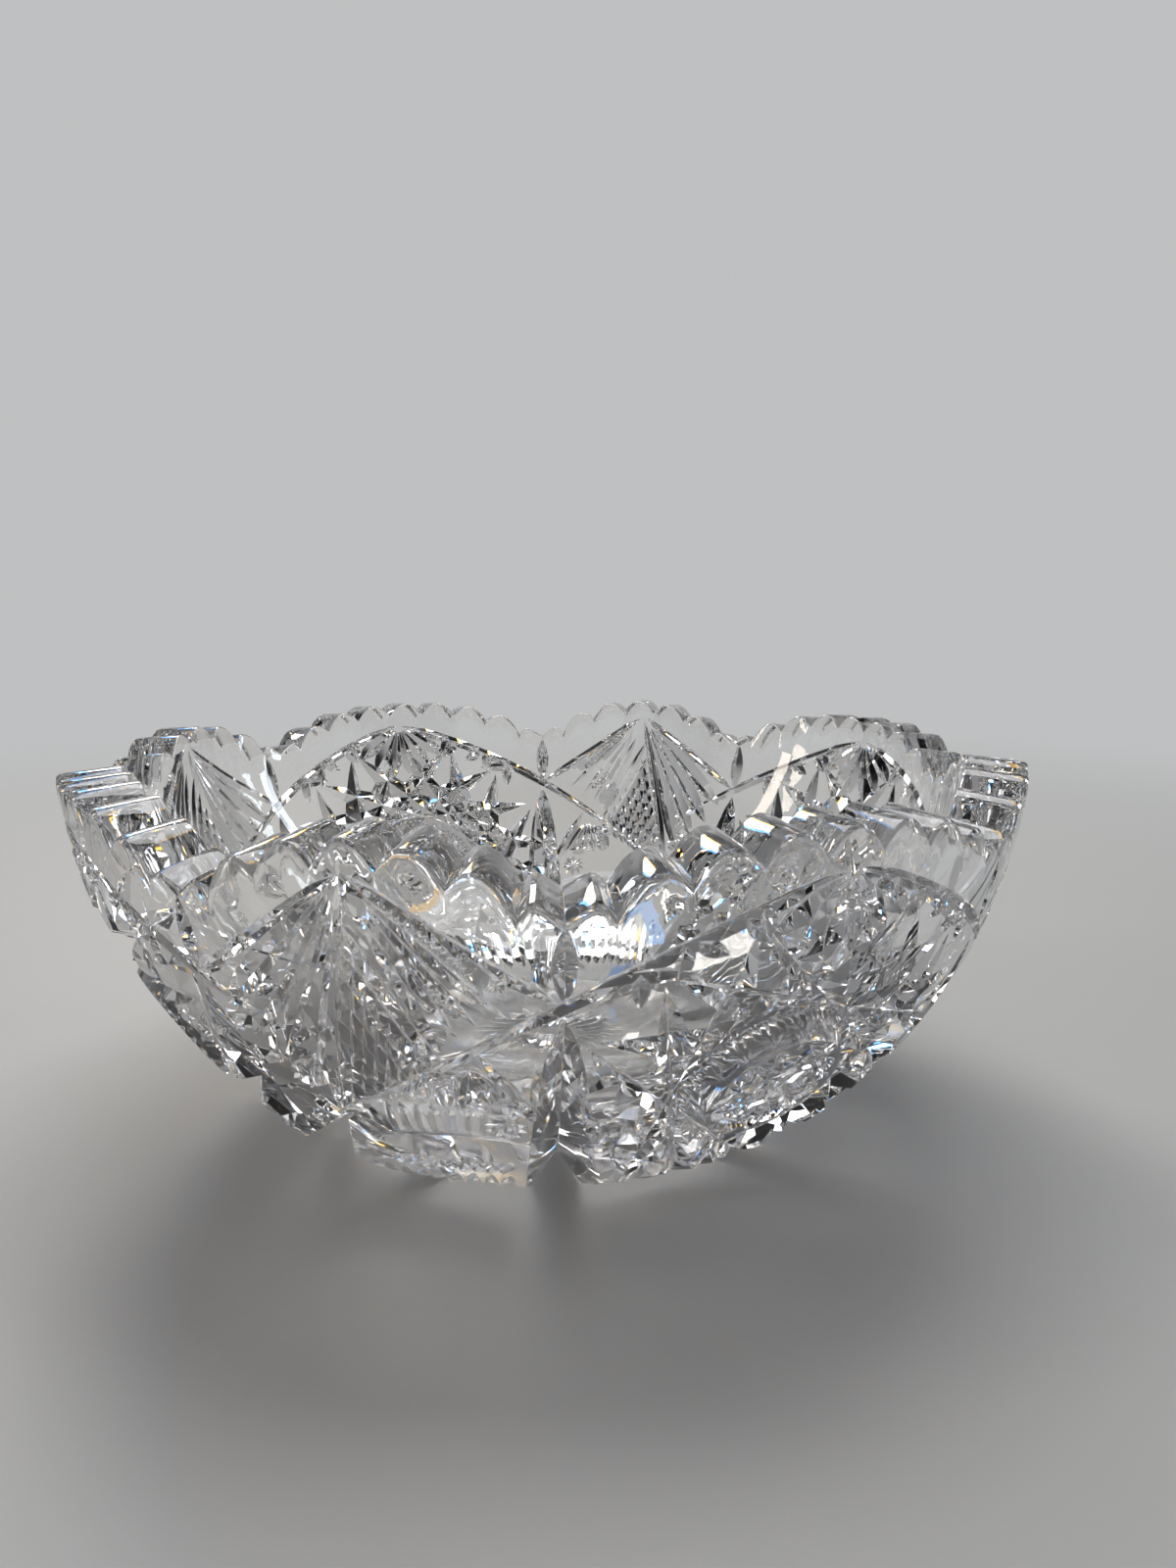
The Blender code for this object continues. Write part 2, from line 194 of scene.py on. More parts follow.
# Narrow panel: blades, fine cuts and a small star, in degrees and metres. Beginnings and ends are shares of
# the lines that the cuts run between.
BLADES = 4
BLADE_BEGIN = 0.08
BLADE_DEPTH = 0.0017
FINE_DEPTH = 0.0011
HATCH_DEPTH = 0.0007
LATTICE_LINES = 8
LATTICE_BEGINS = (0.14, 0.74)
LATTICE_ENDS = (0.46, 0.82)
CROSS_BEGINS = (0.16, 0.92)
CROSS_ENDS = (0.94, 0.56)
SMALL_STAR_PLACE = (-6.3, 34.6)
SMALL_STAR_LINES = 5
SMALL_STAR_RADIUS = 0.0042
SMALL_STAR_DEPTH = 0.0010
# Fine lines from the peak of the narrow panel, in its right half.
NARROW_LINES = (
    (-17.6, 7.7, -4.2, 20.6),
    (-17.6, 7.9, -7.2, 21.6),
    (-17.2, 8.8, -9.3, 23.0),
    (-17.8, 9.4, -10.8, 24.0),
)
# Rows of short rungs, as the line that they cross, their number and their half length.
HATCHES = (
    (-14.8, 9.5, -8.0, 15.9, 13, 0.0018),
    (-14.2, 15.1, -9.5, 19.7, 9, 0.0014),
    (-12.6, 9.9, -6.2, 16.0, 13, 0.0009),
)
# Flat facets in the narrow panel, with their depth.
LOZENGES = (
    (-13.6, 18.2, -11.7, 24.3, 0.0013),
    (-8.9, 13.1, -4.9, 17.5, 0.0010),
    (-25.2, 19.2, -23.4, 22.8, 0.0012),
)
# Crossed cuts under the two arches that run on below the narrow panel.
LOW_FILL = (
    (-25.2, 23.9, -29.9, 25.4),
    (-29.9, 25.2, -25.2, 26.7),
    (-25.2, 26.9, -29.9, 28.6),
    (-29.9, 28.4, -25.2, 29.4),
    (-25.2, 29.6, -29.9, 30.6),
    (-9.0, 25.6, -10.7, 32.2),
    (-9.0, 25.6, -8.1, 32.2),
    (-9.0, 25.6, -5.9, 32.5),
    (-9.0, 25.6, -3.7, 33.2),
    (-10.4, 29.3, -6.0, 29.7),
    (-10.8, 31.2, -4.4, 31.7),
    (-8.3, 23.4, -0.8, 36.2),
    (-13.5, 28.9, -9.9, 26.7),
    (-13.6, 29.3, -9.9, 27.6),
    (-13.7, 29.7, -10.2, 28.6),
    (-13.8, 30.1, -10.5, 29.5),
    (-13.8, 30.5, -10.8, 30.4),
)

# Foot: broad olives, slanting beads and chips, a skirt of points and the rays beneath, in degrees and metres.
OLIVE_DROP = 38.5
OLIVE_INSET = 1.5
OLIVE_DEPTH = 0.0021
LEFT_OLIVE_DROPS = (40, 41)
LEFT_OLIVE_INSET = 1.0
LEFT_OLIVE_DEPTH = 0.0016
BEADS = 9
BEAD_FIRST = -29.0
BEAD_PITCH = 2.7
BEAD_LEANS = (-5.0, 0.6)
BEAD_DROPS = (60.0, 45.0)
BEAD_DEPTH = 0.0015
SKIRT_POINTS = 11
SKIRT_PITCH = 4.4
SKIRT_DROPS = (43.0, 62.0)
SKIRT_DEPTH = 0.0022
CHIPS = 9
CHIP_FIRST = -22.5
CHIP_PITCH = 1.9
CHIP_LEANS = (-1.0, 1.0)
CHIP_DROPS = (45.5, 41.5)
FOOT_RAYS = 6
FOOT_RAY_STATIONS = 7
FOOT_RAY_BEGIN = 0.003
FOOT_RAY_LENGTH = 0.017
FOOT_RAY_DEPTH = 0.0022
FOOT_RAY_SKEW = 0.75
FOOT_RAY_FULLNESS = 2.5

# Glass: the tone of light through the polished blank, and a grey painted on a cut's flank as painted shade
# for the dark reflections in the cuts, lengths in metres and the angle of a sharp edge in degrees. A face
# looks in, as the bowl's inside does, where the cosine between its normal and the way out from the ball's
# centre is under
# LOOKS_IN.
CLEAR_GLASS = (0.985, 0.985, 0.98, 1.0)
# The grey of the cut flanks is painted shade, for the dark reflections seen in the cuts; the glass itself is
# clear.
CUT_FLANK_PAINTED_SHADE = (0.52, 0.52, 0.53, 1.0)
REFRACTION = 1.545
SHARP_EDGE = 24
EDGE_SOFTNESS = 0.00025
WAVE_SCALE = 70.0
WAVE_HEIGHT = 0.00006
SCUFF_SCALE = 900.0
SCUFF_REACH = 0.0006
SCUFF_ROUGHNESS = 0.35
LOOKS_IN = -0.3

# Studio, in metres, degrees and watts. The camera's turn and tilt are in radians, and its lens and sensor in
# millimetres.
LENS = 27.05
SENSOR = 36
NEAREST = 0.01
CAMERA_DISTANCE = 0.26395
CAMERA_HEIGHT = 0.12103
CAMERA_BEARING = 1.25
CAMERA_TURN = 0.0334
CAMERA_TILT = 0.1721
FLOOR_REACH = 1.0
FLOOR_GAP = 0.0004
FLOOR_ROUGHNESS = 0.55
FLOOR_FADES = (0.22, 0.75)
PALE = (0.5, 0.5, 0.495, 1.0)
BACKDROP = (0.52, 0.525, 0.53, 1.0)
CEILING = (0.006, 0.006, 0.007, 1.0)
CEILING_BEGINS = (0.41, 0.5)
FLAGS = 4
FLAG_BEGINS = (-0.35, -0.7)
EVEN_LIGHT = 0.2
BOUNCES = 32
GLOSSY_BOUNCES = 16
LAMPS = (
    ("top", (0.05, 0.2, 0.9), (0, 0, 0.04), (0.6, 0.45), 4.5, (1.0, 1.0, 1.0)),
    ("key", (-0.3, 0.75, 0.75), (0, 0, 0.04), (0.3, 0.25), 3.0, (1.0, 0.96, 0.9)),
)
SIDE_LAMPS = (
    ("cool", (0.8, 0.25, 0.4), (0, 0, 0.04), (0.06, 0.4), 0.8, (0.8, 0.9, 1.0)),
    ("warm", (-0.8, 0.0, 0.4), (0, 0, 0.04), (0.06, 0.4), 0.8, (1.0, 0.88, 0.75)),
)
FRINGE = 0.045
FRINGE_POWER = 1.3
FRINGE_COLOURS = ((1.0, 0.58, 0.1), (0.12, 0.42, 1.0))

BALL_CENTRE = np.array([0.0, 0.0, BALL_HEIGHT])
NARROW_SPAN = 360 / QUARTERS - WIDE_SPAN
WIDE_MIDDLE = WIDE_SPAN / 2
NARROW_MIDDLE = -NARROW_SPAN / 2
ARCH_END = -WIDE_MIDDLE
SHORT_ARCH_END = WIDE_SPAN + SHORT_ARCH_RUN


def place(bearing, drop):
    """The unit vector from the ball's centre, by the sines and cosines of a bearing and a drop."""
    turn, low = math.radians(bearing), math.radians(drop)
    return np.array([math.sin(turn) * math.cos(low), -math.cos(turn) * math.cos(low), -math.sin(low)])


def beside(middle, heading, run):
    """A place at a run from another: turned by run over radius, towards a heading from straight down."""
    down = middle * middle[2] - np.array([0.0, 0.0, 1.0])
    down /= np.linalg.norm(down)
    way = down * math.cos(math.radians(heading)) + np.cross(middle, down) * math.sin(math.radians(heading))
    return middle * math.cos(run / BALL_RADIUS) + way * math.sin(run / BALL_RADIUS)


def along(start, end, shares):
    """Places on the great circle between two: a mean weighted by the sines of the angles left and gone."""
    angle = math.acos(np.clip(start @ end, -1.0, 1.0))
    shares = np.asarray(shares, float)
    weights = np.stack([np.sin((1 - shares) * angle), np.sin(shares * angle)], -1) / math.sin(angle)
    return weights @ np.stack([start, end])


def bow(start, middle, end, shares):
    """Places on the circle through three: its first radius turned round its axis by shares of the sweep."""
    axis = np.cross(middle - start, end - middle)
    axis /= np.linalg.norm(axis)
    centre = axis * (start @ axis)
    first, last = start - centre, end - centre
    across = np.cross(axis, first)
    sweep = math.atan2(last @ across, last @ first) % (2 * math.pi)
    angles = np.asarray(shares, float)[:, None] * sweep
    return centre + np.cos(angles) * first + np.sin(angles) * across


def new_mesh(name, points, faces):
    mesh = bpy.data.meshes.new(name)
    mesh.from_pydata(points.reshape(-1, 3), [], faces)
    return mesh


def rim_stations():
    """Bearing, share of the scallop's drop and share of a tooth's depth at each column, as three arrays.

    A scallop's drop is the distance from its middle, over half its span, to the power of its roundness. A
    tooth's depth is the square of the distance from its own middle, and there is none on the side of a dip.
    """
    columns = []
    for begin, span, teeth, roundness in (
        (0.0, WIDE_SPAN, WIDE_TEETH, WIDE_ROUNDNESS),
        (WIDE_SPAN, NARROW_SPAN, NARROW_TEETH, NARROW_ROUNDNESS),
    ):
        pitch = span / (teeth - 2 + 2 * END_TOOTH_SHARE)
        widths = np.full(teeth, pitch)
        widths[[0, -1]] *= END_TOOTH_SHARE
        left = np.cumsum(widths) - widths
        part = np.arange(TOOTH_COLUMNS) / TOOTH_COLUMNS
        run = left[:, None] + widths[:, None] * part
        valley = np.repeat((2 * part - 1)[None, :] ** 2, teeth, 0)
        valley[0, part < 0.5] = 0.0
        valley[-1, part > 0.5] = 0.0
        drop = np.abs(2 * run / span - 1) ** roundness
        columns.append(np.stack([begin + run, drop, valley]).reshape(3, -1))
    quarter = np.concatenate(columns, 1)
    turns = np.arange(QUARTERS) * 360 / QUARTERS
    bearing = (turns[:, None] + quarter[0]).ravel()
    return bearing, np.tile(quarter[1], QUARTERS), np.tile(quarter[2], QUARTERS)


def inside_radius(height):
    """The inside's radius at a height, on a superellipse."""
    low = (BALL_HEIGHT - height) / (BALL_HEIGHT - FLOOR_THICKNESS)
    return (BALL_RADIUS - RIM_WALL) * (1 - low**INSIDE_FULLNESS) ** (1 / INSIDE_FULLNESS)


def outside_radius(height):
    return np.sqrt(BALL_RADIUS**2 - (BALL_HEIGHT - height) ** 2)


def skin_reach(low):
    """The distance from the ball's centre to the blank's outside: a smooth step takes some near the foot."""
    step = np.clip((np.degrees(low) - FOOT_CUT_BEGINS) / (FOOT_CUT_ENDS - FOOT_CUT_BEGINS), 0, 1)
    return BALL_RADIUS - FOOT_CUT * step**2 * (3 - 2 * step)


def rounded(begin, corner, end, count):
    """Rows of (radius, height) on the parabola between two points, whose ends head for a corner."""
    share = np.linspace(0, 1, count)[:, None, None]
    return (1 - share) ** 2 * begin + 2 * share * (1 - share) * corner + share**2 * end


def blank():
    """The blank with its toothed rim: a half section, whose heights change with the bearing, carried round.

    Rows run from the inside's floor up the superellipse, over the two rounded edges of the rim and down the
    ball to the foot. The two poles close it.
    """
    bearing, drop, valley = rim_stations()
    inner = RIM_HEIGHT - SCALLOP_DROP_INSIDE * drop - TOOTH_DEPTH_INSIDE * valley
    outer = RIM_HEIGHT - RIM_FALL - SCALLOP_DROP_OUTSIDE * drop - TOOTH_DEPTH_OUTSIDE * valley
    inner_corner = np.stack([inside_radius(inner), inner])
    outer_corner = np.stack([outside_radius(outer), outer])
    top = (outer_corner - inner_corner) / np.linalg.norm(outer_corner - inner_corner, axis=0)

    inner_begin = inner - INNER_ROUNDING
    depth = BALL_HEIGHT - FLOOR_THICKNESS
    rim_turn = np.arcsin(((BALL_HEIGHT - inner_begin) / depth) ** (INSIDE_FULLNESS / 2))
    share = (np.arange(1, INSIDE_ROWS + 1) / INSIDE_ROWS)[:, None]
    turn = math.pi / 2 + (rim_turn - math.pi / 2) * share
    power = 2 / INSIDE_FULLNESS
    inside_run = (BALL_RADIUS - RIM_WALL) * np.cos(turn) ** power
    inside = np.stack([inside_run, BALL_HEIGHT - depth * np.sin(turn) ** power], 1)

    inner_edge = rounded(inside[-1], inner_corner, inner_corner + top * INNER_ROUNDING, ROUNDING_ROWS)
    outer_begin = outer - OUTER_ROUNDING
    wall = np.stack([outside_radius(outer_begin), outer_begin])
    outer_edge = rounded(outer_corner - top * OUTER_ROUNDING, outer_corner, wall, ROUNDING_ROWS)

    rim_drop = np.arcsin((BALL_HEIGHT - outer_begin) / BALL_RADIUS)
    foot_drop = math.asin(BALL_HEIGHT / (BALL_RADIUS - FOOT_CUT))
    share = (np.arange(1, OUTSIDE_ROWS + 1) / OUTSIDE_ROWS)[:, None]
    low = rim_drop + (foot_drop - rim_drop) * share
    reach = skin_reach(low)
    outside = np.stack([reach * np.cos(low), BALL_HEIGHT - reach * np.sin(low)], 1)
    foot = outside[-1] * np.array(FOOT_ROWS)[:, None, None]
    foot[:, 1] = 0

    rows = np.concatenate([inside, inner_edge[1:], outer_edge, outside, foot])
    angle = np.radians(bearing)
    grid = np.stack([rows[:, 0] * np.sin(angle), -rows[:, 0] * np.cos(angle), rows[:, 1]], -1)
    poles = np.array([[0.0, 0.0, FLOOR_THICKNESS], [0.0, 0.0, 0.0]])
    count, columns = grid.shape[:2]
    index = np.arange(count * columns).reshape(count, columns)
    after = np.roll(index, -1, 1)
    sides = np.stack([index[:-1], after[:-1], after[1:], index[1:]], -1)[..., ::-1].reshape(-1, 4)
    floor = np.stack([np.full(columns, index.size), index[0], after[0]], -1)
    under = np.stack([np.full(columns, index.size + 1), after[-1], index[-1]], -1)
    points = np.concatenate([grid.reshape(-1, 3), poles])
    return new_mesh("cut_bowl", points, sides.tolist() + floor.tolist() + under.tolist())


def quarters(points):
    """Points turned to each quarter of the bowl, by the cosine and sine of the turn."""
    turns = 2 * np.pi * np.arange(QUARTERS) / QUARTERS
    cos, sin, one = np.cos(turns), np.sin(turns), np.ones(QUARTERS)
    turn = np.stack([cos, -sin, 0 * one, sin, cos, 0 * one, 0 * one, 0 * one, one], -1).reshape(-1, 3, 3)
    return np.einsum("qab,nkb->qnka", turn, points)


def plug(name, middle, depth, radius, corners, home):
    """A flat wheel's cut: a round section at a depth under a place, carried out past the glass."""
    across = np.cross(middle, [0.0, 0.0, 1.0])
    across /= np.linalg.norm(across)
    angle = 2 * np.pi * np.arange(corners)[:, None] / corners
    ring = radius * (np.cos(angle) * across + np.sin(angle) * np.cross(middle, across))
    ends = np.array([BALL_RADIUS - depth, BALL_RADIUS + LIP])[:, None, None] * middle
    points = quarters(BALL_CENTRE + ends + ring)
    index = np.arange(points.size // 3).reshape(points.shape[:3])
    beyond = np.roll(index, -1, 2)
    sides = np.stack([index[:, 0], beyond[:, 0], beyond[:, 1], index[:, 1]], -1).reshape(-1, 4)
    faces = sides.tolist() + index[:, 0, ::-1].tolist() + index[:, 1].tolist()
    obj = bpy.data.objects.new(name, new_mesh(name, points, faces))
    home.objects.link(obj)


def wheel_path(name, points, outs, depths, spread, home):
    """A V section carried along a path on the glass, once in each quarter.

    Its root lies at the depth under each point. Its two lips stand over the glass, as far to the left and the
    right of the path as the root's depth below them times the wheel's spread.
    """
    ahead = np.gradient(points, axis=0)
    side = np.cross(outs, ahead)
    side *= spread / np.linalg.norm(side, axis=1, keepdims=True)
    reach = (depths + LIP)[:, None]
    lip = points + outs * LIP
    section = np.stack([points - outs * depths[:, None], lip - side * reach, lip + side * reach], 1)
    corners = quarters(section)
    index = np.arange(corners.size // 3).reshape(corners.shape[:3])
    beyond = np.roll(index, -1, 2)
    sides = np.stack([index[:, :-1], index[:, 1:], beyond[:, 1:], beyond[:, :-1]], -1).reshape(-1, 4)
    first, last = index[:, 0], index[:, -1, ::-1]
    faces = sides.tolist() + first.tolist() + last.tolist()
    obj = bpy.data.objects.new(name, new_mesh(name, corners, faces))
    home.objects.link(obj)


def mitre(name, places, depths, home, spread=MITRE_WHEEL):
    """A cut along places on the ball."""
    points = BALL_CENTRE + places * BALL_RADIUS
    wheel_path(name, points, places, np.asarray(depths, float), spread, home)


def leaf(name, start, end, depth, home, spread=MITRE_WHEEL, fullness=LEAF, base=0.0):
    """A straight cut whose depth under a base falls towards both ends by a power of the distance."""
    share = np.linspace(0, 1, STATIONS)
    depths = base + (depth + FADE) * (1 - np.abs(2 * share - 1) ** fullness) - FADE
    mitre(name, along(start, end, share), depths, home, spread)


def low_leaf(name, start, end, depth, home, spread):
    """A full leaf whose depth is measured from the blank's skin, which lies under the ball near the foot."""
    path = along(start, end, np.linspace(0, 1, STATIONS))
    leaf(name, start, end, depth, home, spread, LONG_LEAF, BALL_RADIUS - skin_reach(np.arcsin(-path[:, 2])))


def tangent(name, middle, heading, distance, half_length, depth, home, spread):
    """A straight cut that touches a circle round a middle at a heading."""
    touch = beside(middle, heading, distance)
    way = np.cross(middle, touch)
    way /= np.linalg.norm(way)
    angle = half_length / BALL_RADIUS
    ends = touch * math.cos(angle) - way * math.sin(angle), touch * math.cos(angle) + way * math.sin(angle)
    leaf(name, *ends, depth, home, spread)


def ladder(name, start, end, rungs, half_length, depth, home):
    """Short cuts across a line, at equal distances along it."""
    share = (np.arange(rungs) + 0.5) / rungs
    middles = along(start, end, share)
    way = np.cross(start, end)
    way *= half_length / BALL_RADIUS / np.linalg.norm(way)
    for rung, middle in enumerate(middles):
        leaf(f"{name}_{rung}", middle - way, middle + way, depth, home)


def cut_arches(home):
    """The arches of the wide panel, which cross under each dip, and the borders of the narrow panel."""
    peak = place(WIDE_MIDDLE, WIDE_PEAK_DROP)
    share = np.linspace(0, 1, ARCH_STATIONS)
    begin = np.sqrt(np.minimum(1.0, share / ARCH_BEGIN))
    deep = np.interp(share, LONG_ARCH_TAIL, [ARCH_DEPTH, ARCH_TAIL_DEPTH])
    path = bow(peak, place(0, CROSSING_DROP), place(ARCH_END, ARCH_END_DROP), share)
    mitre("long_arch", path, (deep + FADE) * begin - FADE, home, SHARP_WHEEL)
    end = np.minimum(1.0, (1 - share) / SHORT_ARCH_FADE)
    deep = np.interp(share, SHORT_ARCH_TAIL, [ARCH_DEPTH, ARCH_TAIL_DEPTH])
    path = bow(peak, place(WIDE_SPAN, CROSSING_DROP), place(SHORT_ARCH_END, SHORT_ARCH_END_DROP), share)
    mitre("short_arch", path, (deep + FADE) * begin * end - FADE, home, SHARP_WHEEL)
    peak = place(NARROW_MIDDLE, NARROW_PEAK_DROP)
    leaf("border_right", peak, place(0, CROSSING_DROP), BORDER_DEPTH, home, SHARP_WHEEL, LINE)
    leaf("border_left", peak, place(-NARROW_SPAN, CROSSING_DROP), BORDER_DEPTH, home, SHARP_WHEEL, LINE)


def cut_lines(name, lines, depth, home):
    """Straight cuts between pairs of places, each given as a bearing and a drop twice."""
    for number, (bearing, drop, end_bearing, end_drop) in enumerate(lines):
        ends = place(bearing, drop), place(end_bearing, end_drop)
        leaf(f"{name}_{number}", *ends, depth + number * DEPTH_STEP, home)


def cut_dips(home):
    """Under each dip, a dart, then a deep mitre through the foot's edge; and the notch that ends an arch."""
    drops, depths = zip(*DIP_PATH)
    for name, bearing in (("left", 0), ("right", WIDE_SPAN)):
        ends = place(bearing, DART_DROP), place(bearing, CROSSING_DROP)
        leaf(f"dart_{name}", *ends, DART_DEPTH, home, STAR_WHEEL)
        path = np.array([place(bearing, drop) for drop in drops])
        mitre(f"dip_{name}", path, depths, home, NOTCH_WHEEL)
    begin, end = ARCH_NOTCH
    leaf("arch_notch", place(*begin), place(*end), ARCH_NOTCH_DEPTH, home, NOTCH_WHEEL)


def cut_star(hob, home):
    """Mitres tangent to a circle, whose flanks leave a hob with a flat top, and short cuts round the hob."""
    half = math.sqrt(STAR_OUTER**2 - STAR_INNER**2)
    for line in range(STAR_LINES):
        depth = STAR_DEPTH + line * DEPTH_STEP
        tangent(f"star_{line}", hob, 360 * line / STAR_LINES, STAR_INNER, half, depth, home, STAR_WHEEL)
    plug("hob_top", hob, HOB_TOP_DEPTH, HOB_TOP_RADIUS, HOB_TOP_CORNERS, home)
    share = np.linspace(0, 1, STATIONS)
    flank = STAR_DEPTH - (STAR_INNER - COLLAR_OUTER - (COLLAR_INNER - COLLAR_OUTER) * share) / STAR_WHEEL
    depths = flank + COLLAR_DEPTH * (1 - (2 * share - 1) ** 2) - FADE
    for ray in range(COLLAR_CUTS):
        heading = 360 * (ray + COLLAR_SHIFT) / COLLAR_CUTS
        ends = beside(hob, heading, COLLAR_OUTER), beside(hob, heading + COLLAR_LEAN, COLLAR_INNER)
        mitre(f"collar_{ray}", along(*ends, share), depths, home)


def cut_hob(hob, home):
    """A small star on the hob's top, with points between its rays and chips beside them."""
    for ray in range(HOB_RAYS // 2):
        heading = 360 * (ray + 0.5) / HOB_RAYS
        ends = beside(hob, heading, HOB_STAR_RADIUS), beside(hob, heading + 180, HOB_STAR_RADIUS)
        leaf(f"hob_star_{ray}", *ends, HOB_STAR_DEPTH + ray * DEPTH_STEP, home, base=HOB_STAR_BASE)
    for ray in range(HOB_RAYS):
        heading = 360 * ray / HOB_RAYS
        ends = [beside(hob, heading, radius) for radius in HOB_POINT_RADII]
        leaf(f"hob_point_{ray}", *ends, HOB_POINT_DEPTH, home, base=HOB_STAR_BASE)
        for side in (-1, 1):
            chip = zip(HOB_CHIP_TURNS, HOB_CHIP_RADII)
            ends = [beside(hob, heading + side * turn, radius) for turn, radius in chip]
            leaf(f"hob_chip_{ray}_{side}", *ends, HOB_CHIP_DEPTH, home, base=HOB_STAR_BASE)


def cut_wide_panel(home):
    """The star and its hob, a fan from the peak over them, and short fill cuts on both sides."""
    hob = place(WIDE_MIDDLE, HOB_DROP)
    cut_star(hob, home)
    cut_hob(hob, home)
    peak = place(WIDE_MIDDLE, WIDE_PEAK_DROP)
    for ray in range(PEAK_FAN_RAYS):
        heading = PEAK_FAN_ANGLE * ((ray + 0.5) / PEAK_FAN_RAYS - 0.5)
        ends = [beside(peak, heading, radius) for radius in PEAK_FAN_RADII]
        leaf(f"peak_fan_{ray}", *ends, PEAK_FAN_DEPTH + ray * DEPTH_STEP, home, FAN_WHEEL)
    cut_lines("fill_left", WIDE_FILL, FILL_DEPTH, home)
    mirrored = [(WIDE_SPAN - one, low, WIDE_SPAN - two, end) for one, low, two, end in WIDE_FILL]
    cut_lines("fill_right", mirrored, FILL_DEPTH, home)


def cut_narrow_panel(home):
    """A fan from the narrow panel's peak: plain blades on its left, fine lines with hatching on its right."""
    peak = place(NARROW_MIDDLE, NARROW_PEAK_DROP)
    left, right = place(-NARROW_SPAN, CROSSING_DROP), place(0, CROSSING_DROP)
    low = place(ARCH_END, ARCH_END_DROP)
    leaf("fan_middle", peak, low, BORDER_DEPTH, home, SHARP_WHEEL, LINE)
    for ray in range(1, BLADES + 1):
        end = along(left, low, [ray / (BLADES + 1)])[0]
        begin = along(peak, end, [BLADE_BEGIN])[0]
        leaf(f"blade_{ray}", begin, end, BLADE_DEPTH + ray * DEPTH_STEP, home, BLADE_WHEEL, BROAD_LEAF)
    cut_lines("narrow_line", NARROW_LINES, FINE_DEPTH, home)
    lattice_begins = along(peak, low, np.linspace(*LATTICE_BEGINS, LATTICE_LINES))
    lattice_ends = along(right, low, np.linspace(*LATTICE_ENDS, LATTICE_LINES))
    first_line = lattice_begins[0], lattice_ends[0]
    cross_begins = along(*first_line, np.linspace(*CROSS_BEGINS, LATTICE_LINES))
    cross_ends = along(right, low, np.linspace(*CROSS_ENDS, LATTICE_LINES))
    for line in range(LATTICE_LINES):
        step = line * DEPTH_STEP
        ends = lattice_begins[line], lattice_ends[line]
        leaf(f"lattice_{line}", *ends, FINE_DEPTH + step, home, fullness=LONG_LEAF)
        ends = cross_begins[line], cross_ends[line]
        leaf(f"cross_{line}", *ends, FINE_DEPTH - step, home, fullness=LONG_LEAF)
    for number, (bearing, drop, end_bearing, end_drop, rungs, half) in enumerate(HATCHES):
        ends = place(bearing, drop), place(end_bearing, end_drop)
        ladder(f"hatch_{number}", *ends, rungs, half, HATCH_DEPTH, home)
    for number, (bearing, drop, end_bearing, end_drop, depth) in enumerate(LOZENGES):
        ends = place(bearing, drop), place(end_bearing, end_drop)
        leaf(f"lozenge_{number}", *ends, depth, home, FACET_WHEEL)
    cut_lines("low_fill", LOW_FILL, FINE_DEPTH, home)
    middle = place(*SMALL_STAR_PLACE)
    for ray in range(SMALL_STAR_LINES):
        heading = 180 * ray / SMALL_STAR_LINES
        ends = [beside(middle, turn, SMALL_STAR_RADIUS) for turn in (heading, heading + 180)]
        leaf(f"small_star_{ray}", *ends, SMALL_STAR_DEPTH + ray * DEPTH_STEP, home)


def cut_foot(home):
    """Broad polished cuts over the foot, slanting beads and points under them, and a star of rays beneath."""
    ends = place(ARCH_END + OLIVE_INSET, OLIVE_DROP), place(-OLIVE_INSET, OLIVE_DROP)
    leaf("olive_right", *ends, OLIVE_DEPTH, home, FLAT_WHEEL)
    bearings = -NARROW_SPAN + LEFT_OLIVE_INSET, ARCH_END - LEFT_OLIVE_INSET
    ends = [place(bearing, drop) for bearing, drop in zip(bearings, LEFT_OLIVE_DROPS)]
    leaf("olive_left", *ends, LEFT_OLIVE_DEPTH, home, FLAT_WHEEL)
    for bead in range(BEADS):
        bearing = BEAD_FIRST + BEAD_PITCH * bead
        ends = [place(bearing + lean, drop) for lean, drop in zip(BEAD_LEANS, BEAD_DROPS)]
        low_leaf(f"bead_{bead}", *ends, BEAD_DEPTH, home, SHARP_WHEEL)
    for point in range(SKIRT_POINTS):
        bearing = WIDE_MIDDLE + SKIRT_PITCH * (point - SKIRT_POINTS // 2)
        ends = [place(bearing, drop) for drop in SKIRT_DROPS]
        low_leaf(f"skirt_{point}", *ends, SKIRT_DEPTH, home, SHARP_WHEEL)
    for chip in range(CHIPS):
        bearing = CHIP_FIRST + CHIP_PITCH * chip
        ends = [place(bearing + lean, drop) for lean, drop in zip(CHIP_LEANS, CHIP_DROPS)]
        leaf(f"chip_{chip}", *ends, FINE_DEPTH, home)
    share = np.linspace(0, 1, FOOT_RAY_STATIONS)
    full = 1 - np.abs(2 * share**FOOT_RAY_SKEW - 1) ** FOOT_RAY_FULLNESS
    depths = (FOOT_RAY_DEPTH + FADE) * full - FADE
    outs = np.repeat([[0.0, 0.0, -1.0]], share.size, 0)
    for ray in range(FOOT_RAYS):
        way = place(360 / QUARTERS * (ray + 0.5) / FOOT_RAYS, 0)
        points = way * (FOOT_RAY_BEGIN + FOOT_RAY_LENGTH * share)[:, None]
        wheel_path(f"foot_ray_{ray}", points, outs, depths, MITRE_WHEEL, home)


